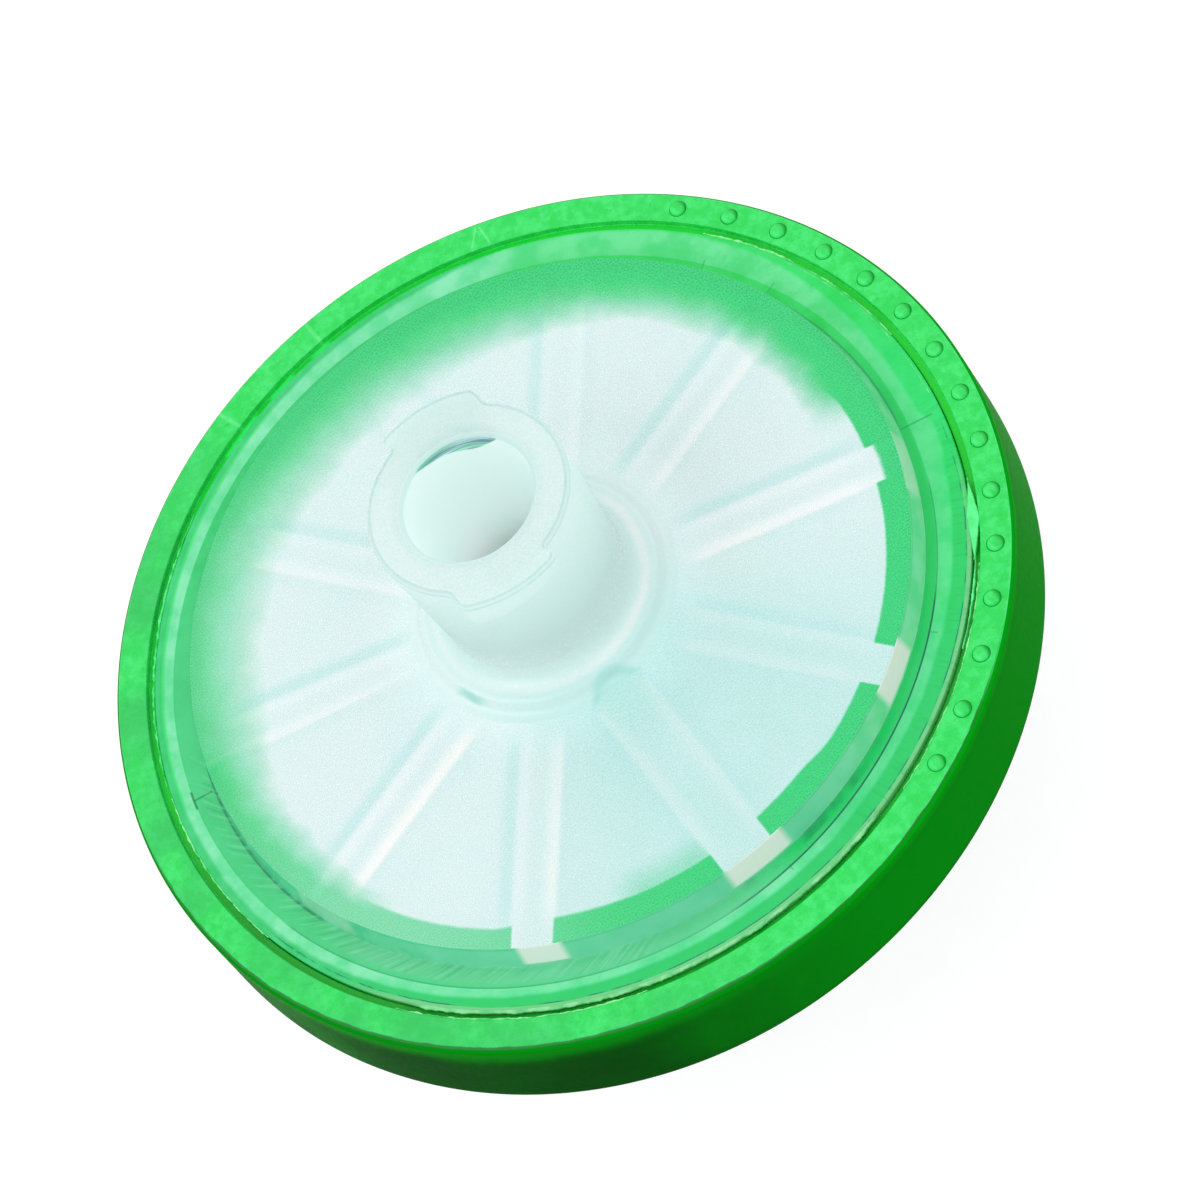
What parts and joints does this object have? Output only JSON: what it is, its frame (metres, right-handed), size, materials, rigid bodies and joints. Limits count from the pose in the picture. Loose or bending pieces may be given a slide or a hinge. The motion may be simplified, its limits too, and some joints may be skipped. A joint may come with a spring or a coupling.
{
  "type": "syringe filter",
  "caption": "Disc-shaped disposable syringe filter with a female luer-lock inlet, a luer slip outlet and a moulded sealing ring.",
  "frame": {"origin": "centre of the outlet nozzle's flat tip, at the bottom of the part", "axes": "+Z along the filter's axis from the outlet to the inlet, Y across the two luer lugs"},
  "size_m": [0.0308, 0.0308, 0.0213],
  "materials": {
    "clear_plastic": "clear moulded plastic with frosted outer faces",
    "membrane": "matt white filter membrane",
    "ring_plastic": "semi-gloss green moulded plastic"
  },
  "bodies": {
    "root": {"outlet_housing": "clear_plastic", "filter_membrane": "membrane", "inlet_housing": "clear_plastic", "overmould_ring": "ring_plastic"}
  },
  "joints": []
}
